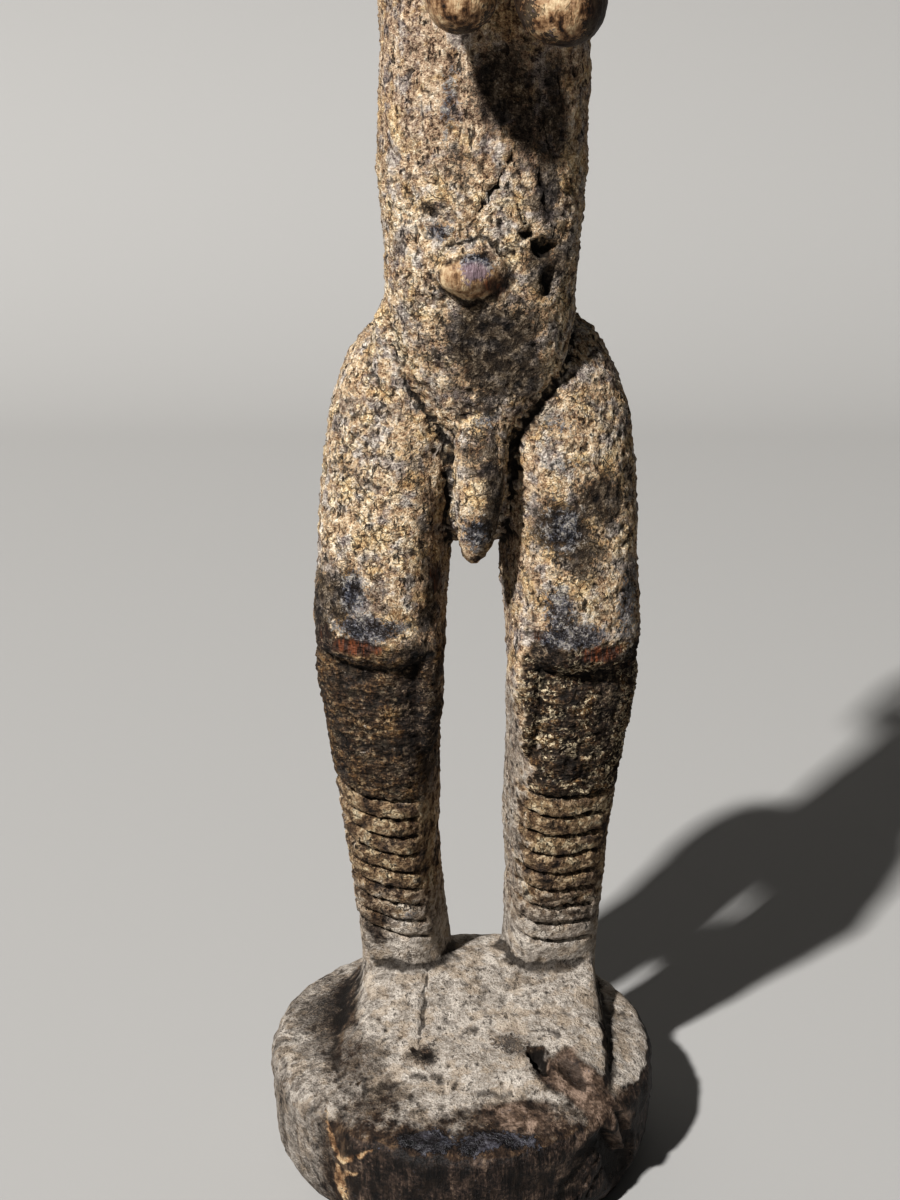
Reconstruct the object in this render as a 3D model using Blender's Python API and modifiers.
"""A standing hermaphrodite ancestor figure with raised arms, carved with its round base from one block of wood.

Units are metres, +Z is up and the figure faces -Y. The origin is the centre of the base's underside.
Every form is a solid of its own, and Boolean unions join them into the one carved piece.
"""

import math

import bpy
import numpy as np

# Sizes of the base
BASE_DIAMETER = 0.140
BASE_HEIGHT = 0.045
BASE_LEAN = 0.003
BASE_DOME = 0.009
BASE_FOOT_INSET = 0.007
BASE_EDGE_ROUND = 0.008
BASE_SIDES = 44

# The figure's soles are cut down into the base's domed top. Its canon divides its height into parts.
# Every shape below is in parts: across and deep from the figure's axis, and up from the soles.
FIGURE_HEIGHT = 0.560
CANON_PARTS = 560.0
PART = FIGURE_HEIGHT / CANON_PARTS
FIGURE_AXIS = 5.0
SOLE_HEIGHT = 0.040

# Carved bands on the shins: grooves round the front, counted from the top one, that climb towards -X
GROOVE_COUNT = 9
GROOVE_DEPTH = 1.6
GROOVE_HALF_WIDTH = 1.5
GROOVE_CLIMB = 4.5
GROOVE_FADE = 20.0
LEFT_GROOVE_TOP = 101.0
LEFT_GROOVE_PITCH = 7.4
RIGHT_GROOVE_TOP = 102.0
RIGHT_GROOVE_PITCH = 7.8

# How many sides each kind of form has
TRUNK_SIDES = 24
LIMB_SIDES = 20
SHIN_SIDES = 18
SMALL_SIDES = 12

WOOD_COLOUR = (0.30, 0.23, 0.15, 1.0)
WOOD_ROUGHNESS = 0.85
WOOD_METALLIC = 0.0

# Each row of a trunk or leg: height above the base's rim, left, right, front and back, all in parts.
TORSO_ROWS = (
    (220, -9, 10, -14, 22),
    (231, -15, 16, -20, 28),
    (242, -23, 24, -24, 31),
    (254, -28, 28.5, -26, 31),
    (265, -29.1, 29.6, -26, 30),
    (278, -29.8, 30.0, -26.5, 29),
    (290, -29.9, 31.2, -26, 29),
    (306, -31.4, 32.2, -25, 29),
    (327, -31.6, 33.0, -24, 29),
    (351, -30.6, 33.0, -23, 30),
    (372, -31.5, 33.5, -22, 31),
    (384, -34.5, 35.5, -21, 31),
    (394, -39.5, 39.5, -18, 29),
    (404, -43, 43, -13, 26),
    (412, -39, 39, -7, 22),
    (418, -25, 25, -1, 18),
)
PELVIS_ROWS = (
    (192, -9, 8, 0, 26),
    (197, -15, 14, -8, 36),
    (206, -17, 17, -12, 41),
    (226, -24, 24, -14, 43),
    (246, -30, 30, -12, 40),
    (262, -28, 28, -6, 33),
    (270, -20, 20, 0, 26),
)
LEFT_THIGH_ROWS = (
    (154, -45, -21, -17, 14),
    (156.5, -50.5, -14, -21.5, 20),
    (160, -54.5, -11.2, -23.5, 24),
    (168, -55.1, -10.8, -23, 27),
    (183, -53.7, -9.7, -22, 32),
    (198, -53, -8.2, -21, 38),
    (215, -51.5, -5, -19.5, 43),
    (230, -49.5, -4, -17.5, 45),
    (243, -46.5, -8, -14, 43),
    (253, -42.5, -12, -9, 39),
    (261, -36.5, -16, -3, 33),
    (266, -30, -18, 3, 27),
)
RIGHT_THIGH_ROWS = (
    (152, 22, 45, -17, 14),
    (154.5, 14, 50.5, -21.5, 20),
    (158, 9.6, 53.9, -23.5, 24),
    (168, 9.2, 54.1, -23, 27),
    (183, 8.2, 53.3, -22, 32),
    (198, 7.2, 52.8, -21, 38),
    (215, 5, 51.7, -19.5, 43),
    (230, 4, 50, -17.5, 45),
    (243, 8, 46.5, -14, 43),
    (253, 12, 42.5, -9, 39),
    (261, 16, 36.5, -3, 33),
    (266, 18, 30, 3, 27),
)
LEFT_SHIN_ROWS = (
    (4, -44, -4, 2, 40),
    (16, -42.5, -6.5, 3.5, 38),
    (28, -41.8, -8.8, 3.5, 36),
    (41, -42.3, -10.5, 2, 35),
    (50, -43.6, -11.6, 0.5, 34),
    (67, -45.8, -12.6, -3, 33.5),
    (84, -47.5, -13, -6.5, 33),
    (100, -48.9, -12.7, -10, 32.5),
    (116, -50.6, -12.8, -13.5, 31),
    (132, -52.3, -12.4, -16, 28),
    (147, -54.4, -11.6, -17.8, 26),
    (160, -54.7, -11, -17, 25.5),
    (176, -50, -15, -12, 24),
)
RIGHT_SHIN_ROWS = (
    (4, 8, 47, 2, 40),
    (16, 9.2, 45.6, 3.5, 38),
    (28, 10.2, 44.7, 3.5, 36),
    (41, 10.9, 45, 2, 35),
    (50, 10.9, 45.3, 0.5, 34),
    (67, 10.9, 46.2, -3, 33.5),
    (84, 9.9, 47, -6.5, 33),
    (100, 10.2, 48.4, -10, 32.5),
    (116, 10.6, 50.3, -13.5, 31),
    (132, 10.1, 52.4, -16, 28),
    (147, 9.9, 53.8, -17.8, 26),
    (160, 9.6, 53.8, -17, 25.5),
    (176, 14, 50, -12, 24),
)
# The feet are worn almost level with the base. The right one is one raised slab with the block between them.
LEFT_FOOT_ROWS = (
    (-10, -49, -20.5, -30, 40),
    (6, -49, -20.5, -30, 40),
    (10, -46.5, -20.3, -26.5, 40),
    (13.5, -42.5, -19.5, -16, 39),
    (17, -38, -19, 0, 37),
)
RIGHT_FOOT_ROWS = (
    (-10, -18, 47.5, -28, 43),
    (7, -18, 47.5, -28, 43),
    (11.5, -17.5, 46.5, -26.5, 43),
    (14, -17, 45.5, -21, 43),
    (16, -16, 44, -6, 42),
    (17.5, -13, 41, 12, 39),
)
NECK_ROWS = (
    (404, -17, 17, -8, 21),
    (416, -13, 13, -5, 18),
    (428, -11.5, 11.5, -4, 17),
    (440, -11, 11, -4, 18),
    (452, -11, 11, -3, 19),
)
HEAD_ROWS = (
    (436, -7, 7, -17, 2),
    (440, -12, 12, -20, 8),
    (447, -16.5, 16.5, -22, 17),
    (458, -20, 20, -22.5, 25),
    (472, -22, 22, -22, 29),
    (486, -22.5, 22.5, -20.5, 31),
    (500, -21.5, 21.5, -18, 31),
    (511, -18.5, 18.5, -13, 28),
    (519, -14, 14, -7, 23),
    (525, -8, 8, 0, 16),
)

# Each row of a form that follows a path: x, y and height of its middle, then half its width and half its depth.
ARM_PATH = (
    (31, 8.5, 388, 4, 8),
    (36.8, 9, 400, 6.8, 11),
    (41.8, 9.5, 414, 11.2, 12),
    (44.3, 10.5, 430, 10.7, 10.7),
    (45.5, 11, 448, 10, 10),
    (45.8, 11, 462, 10.6, 11),
    (45.4, 9.5, 478, 9.6, 9.8),
    (44.4, 7.5, 496, 8.8, 8.8),
    (43.4, 6, 512, 8, 7.6),
    (43, 5, 522, 9.4, 6),
    (42.8, 4.5, 534, 11.2, 4.8),
    (42.6, 4, 548, 10.8, 4.2),
    (42.5, 4, 556, 9, 3.4),
    (42.5, 4, 560, 6, 2.4),
)
LEFT_BREAST_PATH = (
    (-12, -6, 399, 12, 14),
    (-11, -18, 392, 12.5, 13.5),
    (-9, -30, 383, 12, 12.4),
    (-7.2, -39, 374, 11.2, 11.4),
    (-6.3, -46, 366, 10.2, 10.4),
    (-5.8, -50.5, 360.5, 8.6, 8.4),
    (-5.5, -52.8, 357.4, 5.6, 5.4),
    (-5.4, -53.6, 356, 2.4, 2.4),
)
RIGHT_BREAST_PATH = (
    (14, -6, 399, 13, 14),
    (16, -18, 392, 14, 14),
    (19, -30, 382, 14, 13.5),
    (21, -40, 372, 13.6, 13),
    (21.3, -47.5, 363.5, 12.6, 12),
    (20.6, -52, 357.5, 10.6, 9.6),
    (20, -54.3, 354, 7, 6),
    (19.8, -55.2, 352.4, 3, 2.6),
)
PENIS_PATH = (
    (0, -9, 240, 7, 6),
    (0, -16, 233, 8.2, 7.5),
    (-0.2, -19.5, 222, 8.1, 8),
    (-0.4, -20.5, 210, 7.3, 7.8),
    (-0.8, -20.5, 200, 6.3, 7),
    (-1.2, -20, 194, 5, 5.4),
    (-1.4, -19.5, 190.8, 2.4, 2.8),
)
NAVEL_PATH = (
    (-2, -18, 289, 11.5, 10),
    (-2, -26, 287.5, 10.2, 8),
    (-1.8, -31.5, 285.6, 6.6, 5.2),
    (-1.6, -35.2, 284, 3, 2.6),
)
BEARD_PATH = (
    (0, -12, 446, 6, 6),
    (0, -17, 438, 6, 5),
    (0, -20, 428, 5.4, 4.4),
    (0, -21.5, 418, 5.8, 4.6),
    (0, -21.5, 413, 4.6, 3.6),
)
CREST_PATH = (
    (0, 26, 452, 2.5, 4),
    (0, 31, 466, 4, 6),
    (0, 32.5, 486, 4.6, 7),
    (0, 28, 506, 5, 8),
    (0, 18, 520, 5, 8),
    (0, 6, 524, 4.6, 7.5),
    (0, -5, 519, 4, 6.5),
    (0, -13, 508, 3, 5),
)
NOSE_PATH = (
    (0, -16, 496, 2.4, 3),
    (0, -21, 488, 2.8, 4),
    (0, -24, 477, 3.8, 5),
    (0, -25.5, 467, 5.4, 5.6),
    (0, -24.5, 463, 4.6, 4.6),
)
BROW_PATH = (
    (-18, -7.5, 486, 1.8, 2.4),
    (-11.5, -15.5, 490, 2.6, 3.2),
    (0, -19, 492, 2.8, 3.6),
    (11.5, -15.5, 490, 2.6, 3.2),
    (18, -7.5, 486, 1.8, 2.4),
)
EYE_CENTRE = (10.2, -19.4, 478.5)
EYE_RADII = (4.6, 3.2, 3.0)
MOUTH_CENTRE = (0, -21.6, 452)
MOUTH_RADII = (7.4, 3.6, 2.2)
EAR_CENTRE = (21.5, 8, 476)
EAR_SIZE = (6.0, 7.5, 17.0)
EAR_ROUND = 2.2

# Cuts in the base's front right: a hollow in its side, a long slice beside it and a hole in its top.
# Each has its middle and its half sizes, then how far it leans sideways and how far it is turned, in degrees.
GOUGES = (
    ((52.5, -41.5, -18), (7, 9, 23), 24, -36),
    ((35, -58.5, -18), (4, 8, 22), -36, -55),
    ((22, -34, 9), (3.2, 5.5, 8), 0, -20),
)


def clear_scene():
    """Remove whatever the startup scene holds."""
    for thing in list(bpy.data.objects):
        bpy.data.objects.remove(thing, do_unlink=True)


def new_collection(name):
    made = bpy.data.collections.new(name)
    bpy.context.scene.collection.children.link(made)
    return made


def wood():
    """Old hardwood under a dry, matt crust."""
    made = bpy.data.materials.new("crusted_wood")
    made.use_nodes = True
    shader = made.node_tree.nodes["Principled BSDF"]
    shader.inputs["Base Color"].default_value = WOOD_COLOUR
    shader.inputs["Roughness"].default_value = WOOD_ROUGHNESS
    shader.inputs["Metallic"].default_value = WOOD_METALLIC
    return made


def smooth_track(keys, values, at):
    """Cubic curve through the values, with slopes limited so that it never overshoots a key."""
    keys, values, at = (np.asarray(a, float) for a in (keys, values, at))
    steps = np.diff(keys)
    rises = np.diff(values, axis=0) / steps[:, None]
    slopes = np.zeros_like(values)
    product = rises[:-1] * rises[1:]
    slopes[1:-1] = np.where(product > 0, 2 * product / np.where(product > 0, rises[:-1] + rises[1:], 1), 0)
    slopes[0], slopes[-1] = rises[0], rises[-1]
    span = np.clip(np.searchsorted(keys, at, side="right") - 1, 0, len(steps) - 1)
    t = ((at - keys[span]) / steps[span])[:, None]
    width = steps[span][:, None]
    start, end = values[span], values[span + 1]
    return (
        start * (1 + 2 * t) * (1 - t) ** 2
        + end * t * t * (3 - 2 * t)
        + slopes[span] * width * t * (1 - t) ** 2
        - slopes[span + 1] * width * t * t * (1 - t)
    )


def unit_section(sides, squareness, turn_degrees=0.0):
    """A rounded square that touches -1 and 1 on both axes. It starts at the front and runs anticlockwise from above."""
    angle = np.linspace(0, 2 * math.pi, sides, endpoint=False) - math.pi / 2
    angle = angle - math.radians(turn_degrees)
    x = np.sign(np.cos(angle)) * np.abs(np.cos(angle)) ** (2 / squareness)
    y = np.sign(np.sin(angle)) * np.abs(np.sin(angle)) ** (2 / squareness)
    turn = math.radians(turn_degrees)
    turned = np.stack([x * math.cos(turn) - y * math.sin(turn), x * math.sin(turn) + y * math.cos(turn)], axis=1)
    low, high = turned.min(axis=0), turned.max(axis=0)
    return (turned - (low + high) / 2) / ((high - low) / 2)


def in_metres(points):
    """Canon points to metres, on the figure's own axis and above the base's rim."""
    placed = points * PART
    placed[..., 0] += FIGURE_AXIS * PART
    placed[..., 2] += SOLE_HEIGHT
    return placed


def sections_from_rows(rows, heights, section):
    """One section at each height, stretched to the left, right, front and back that the rows give there."""
    rows = np.array(rows, float)
    edges = smooth_track(rows[:, 0], rows[:, 1:], heights)
    left, right, front, back = (edges[:, i, None] for i in range(4))
    x = (left + right) / 2 + (right - left) / 2 * section[:, 0]
    y = (front + back) / 2 + (back - front) / 2 * section[:, 1]
    z = np.broadcast_to(np.asarray(heights, float)[:, None], x.shape)
    return np.stack([x, y, z], axis=2)


def sections_along_path(path, count, section):
    """Sections square to a smooth path, with the half width and half depth that the path's rows give."""
    path = np.array(path, float)
    travelled = np.concatenate([[0], np.cumsum(np.linalg.norm(np.diff(path[:, :3], axis=0), axis=1))])
    rows = smooth_track(travelled, path, np.linspace(0, travelled[-1], count))
    middle = rows[:, :3]
    along = np.gradient(middle, axis=0)
    along /= np.linalg.norm(along, axis=1)[:, None]
    if np.ptp(path[:, 0]) > np.ptp(path[:, 2]):
        across = np.cross(along, np.array([0.0, -1.0, 0.0]))
    else:
        across = np.broadcast_to(np.array([1.0, 0.0, 0.0]), along.shape)
        across = across - (across * along).sum(axis=1)[:, None] * along
    across /= np.linalg.norm(across, axis=1)[:, None]
    deep = np.cross(along, across)
    return (
        middle[:, None, :]
        + across[:, None, :] * (rows[:, 3, None] * section[:, 0])[:, :, None]
        + deep[:, None, :] * (rows[:, 4, None] * section[:, 1])[:, :, None]
    )


def solid_from_sections(name, sections, collection):
    """A closed mesh: quads between neighbouring sections, and one flat face over each end."""
    count, sides = sections.shape[:2]
    index = np.arange(count * sides).reshape(count, sides)
    beside = np.roll(index, -1, axis=1)
    quads = np.stack([index[:-1], beside[:-1], beside[1:], index[1:]], axis=2).reshape(-1, 4)
    faces = quads.tolist() + [index[0, ::-1].tolist(), index[-1].tolist()]
    mesh = bpy.data.meshes.new(name)
    mesh.from_pydata(sections.reshape(-1, 3).tolist(), [], faces)
    mesh.validate()
    mesh.shade_smooth()
    made = bpy.data.objects.new(name, mesh)
    collection.objects.link(made)
    return made


def evenly(rows, count):
    """Heights from the lowest row to the highest."""
    return np.linspace(rows[0][0], rows[-1][0], count)


def base(collection):
    """A worn drum: flat below, rounded at both edges, domed on top, and its top rises a little to the back."""
    radius = BASE_DIAMETER / 2
    turns = np.linspace(0, math.pi / 2, 5)
    shoulder = radius - BASE_EDGE_ROUND
    profile = [(radius - BASE_FOOT_INSET, 0.0), (radius - BASE_FOOT_INSET * 0.25, BASE_HEIGHT * 0.22)]
    profile += [
        (shoulder + BASE_EDGE_ROUND * math.cos(t), BASE_HEIGHT - BASE_EDGE_ROUND * (1 - math.sin(t))) for t in turns
    ]
    dome = [(share, BASE_HEIGHT + BASE_DOME * (1 - share**2)) for share in (0.8, 0.55, 0.3, 0.1)]
    profile += [(shoulder * share, height) for share, height in dome]
    angle = np.linspace(0, 2 * math.pi, BASE_SIDES, endpoint=False) - math.pi / 2
    wear = 1 - 0.022 * np.sin(2 * angle) ** 2 * (1 + 0.6 * np.sin(3 * angle + 1))
    rings = []
    for reach, height in profile:
        x, y = reach * wear * np.cos(angle), reach * wear * np.sin(angle)
        raised = BASE_LEAN * (height / BASE_HEIGHT) * y / radius
        rings.append(np.stack([x, y, height + raised], axis=1))
    return solid_from_sections("base", np.array(rings), collection)


def band_groove(heights, groove_heights):
    """1 in the middle of a groove, falling to 0 at its edges."""
    near = np.abs(heights[:, None] - groove_heights[None, :]).min(axis=1)
    return np.clip(1 - near / GROOVE_HALF_WIDTH, 0, 1)


def shin(name, rows, turn, groove_top, pitch, collection):
    """A tapering leg below the knee, with a ladder of grooves across its front."""
    grooves = groove_top - pitch * np.arange(GROOVE_COUNT)
    offsets = np.array([-GROOVE_HALF_WIDTH, 0, GROOVE_HALF_WIDTH])
    plain = [row[0] for row in rows if not grooves[-1] < row[0] < grooves[0]]
    heights = np.sort(np.concatenate([plain, (grooves[:, None] + offsets).ravel()]))
    section = unit_section(SHIN_SIDES, 2.9, turn)
    sections = sections_from_rows(rows, heights, section)
    banded = np.clip((heights - grooves[-1]) / GROOVE_FADE + 1, 0, 1) * np.clip(
        (grooves[0] - heights) / GROOVE_FADE + 1, 0, 1
    )
    climb = GROOVE_CLIMB * np.clip(-section[:, 0], 0, 1) ** 1.5
    sections[:, :, 2] += banded[:, None] * climb[None, :]
    outer = section[:, 0] * math.copysign(1, turn)
    front = np.clip((-section[:, 1] - 0.2) / 0.4, 0, 1) * np.clip((outer + 0.75) / 0.3, 0, 1)
    cut = GROOVE_DEPTH * band_groove(heights, grooves)[:, None] * front[None, :]
    middle = sections.mean(axis=1, keepdims=True)
    outward = sections - middle
    outward /= np.linalg.norm(outward, axis=2, keepdims=True)
    sections -= outward * cut[:, :, None]
    return solid_from_sections(name, in_metres(sections), collection)


def trunk_form(name, rows, count, squareness, collection, sides=TRUNK_SIDES, turn=0.0):
    sections = sections_from_rows(rows, evenly(rows, count), unit_section(sides, squareness, turn))
    return solid_from_sections(name, in_metres(sections), collection)


def path_form(name, path, count, squareness, collection, mirror=False):
    """A rounded form along a path. Mirroring gives the one on the figure's other side."""
    section = unit_section(SMALL_SIDES, squareness)
    sections = sections_along_path(path, count, section)
    if mirror:
        sections = sections * np.array([-1.0, 1.0, 1.0])
        sections = sections[:, ::-1]
    made = solid_from_sections(name, in_metres(sections), collection)
    face_outwards(made)
    return made


def face_outwards(made):
    """Turn a closed mesh the right way out if its volume comes out negative."""
    mesh = made.data
    mesh.calc_loop_triangles()
    corners = np.array([[mesh.vertices[i].co for i in t.vertices] for t in mesh.loop_triangles], float)
    if np.linalg.det(corners).sum() < 0:
        mesh.flip_normals()


def ellipsoid(name, middle, radii, collection):
    """A small rounded form from a UV sphere."""
    bpy.ops.mesh.primitive_uv_sphere_add(segments=12, ring_count=8, radius=1.0)
    made = bpy.context.object
    made.name = name
    made.location = in_metres(np.array(middle, float))
    made.scale = np.array(radii, float) * PART
    move_to(made, collection)
    return made


def ear(name, side, collection):
    """A plain lug on the side of the head, with rounded edges."""
    bpy.ops.mesh.primitive_cube_add(size=1.0)
    made = bpy.context.object
    made.name = name
    made.dimensions = np.array(EAR_SIZE) * PART
    bpy.ops.object.transform_apply(location=False, rotation=False, scale=True)
    made.location = in_metres(np.array([side * EAR_CENTRE[0], EAR_CENTRE[1], EAR_CENTRE[2]], float))
    soften = made.modifiers.new("soften", "BEVEL")
    soften.width = EAR_ROUND * PART
    soften.segments = 2
    move_to(made, collection)
    return made


def move_to(made, collection):
    for holder in list(made.users_collection):
        holder.objects.unlink(made)
    collection.objects.link(made)


def gouge(number, middle, radii, lean, turn, collection):
    """A long smooth cut, taken out as part of an ellipsoid."""
    made = ellipsoid(f"gouge_{number}", middle, radii, collection)
    made.rotation_euler = (math.radians(lean), 0, math.radians(turn))
    return made


def join_by_boolean(figure, others, operation):
    for other in others:
        step = figure.modifiers.new(f"{operation.lower()}_{other.name}", "BOOLEAN")
        step.operation = operation
        step.object = other
        step.solver = "EXACT"


def as_helper(things):
    """Forms that are joined or cut away stay visible as wires only."""
    for thing in things:
        thing.hide_render = True
        thing.display_type = "WIRE"


def carve():
    clear_scene()
    shown = new_collection("dogon_figure")
    forms = new_collection("carved_forms")
    cutters = new_collection("cutters")

    figure = base(shown)
    figure.name = "figure"
    figure.data.materials.append(wood())

    joined = [
        shin("left_shin", LEFT_SHIN_ROWS, -16, LEFT_GROOVE_TOP, LEFT_GROOVE_PITCH, forms),
        shin("right_shin", RIGHT_SHIN_ROWS, 16, RIGHT_GROOVE_TOP, RIGHT_GROOVE_PITCH, forms),
        trunk_form("left_thigh", LEFT_THIGH_ROWS, 13, 2.6, forms, LIMB_SIDES, -14),
        trunk_form("right_thigh", RIGHT_THIGH_ROWS, 13, 2.6, forms, LIMB_SIDES, 14),
        trunk_form("pelvis", PELVIS_ROWS, 8, 2.4, forms, LIMB_SIDES),
        trunk_form("torso", TORSO_ROWS, 18, 2.8, forms),
        trunk_form("left_foot", LEFT_FOOT_ROWS, 6, 4.0, forms, LIMB_SIDES),
        trunk_form("right_foot", RIGHT_FOOT_ROWS, 6, 4.5, forms, TRUNK_SIDES),
        trunk_form("neck", NECK_ROWS, 6, 2.2, forms, LIMB_SIDES),
        trunk_form("head", HEAD_ROWS, 13, 2.3, forms, LIMB_SIDES + 2),
        path_form("left_arm", ARM_PATH, 19, 2.4, forms, mirror=True),
        path_form("right_arm", ARM_PATH, 19, 2.4, forms),
        path_form("left_breast", LEFT_BREAST_PATH, 11, 2.1, forms),
        path_form("right_breast", RIGHT_BREAST_PATH, 11, 2.1, forms),
        path_form("penis", PENIS_PATH, 10, 2.2, forms),
        path_form("navel", NAVEL_PATH, 5, 2.0, forms),
        path_form("crest", CREST_PATH, 12, 2.2, forms),
        path_form("beard", BEARD_PATH, 6, 2.6, forms),
        path_form("nose", NOSE_PATH, 7, 2.6, forms),
        path_form("brow", BROW_PATH, 9, 2.2, forms),
        ellipsoid("left_eye", (-EYE_CENTRE[0], *EYE_CENTRE[1:]), EYE_RADII, forms),
        ellipsoid("right_eye", EYE_CENTRE, EYE_RADII, forms),
        ellipsoid("mouth", MOUTH_CENTRE, MOUTH_RADII, forms),
        ear("left_ear", -1, forms),
        ear("right_ear", 1, forms),
    ]
    cut = [gouge(i, *sizes, cutters) for i, sizes in enumerate(GOUGES)]
    join_by_boolean(figure, joined, "UNION")
    join_by_boolean(figure, cut, "DIFFERENCE")
    as_helper(joined + cut)


carve()
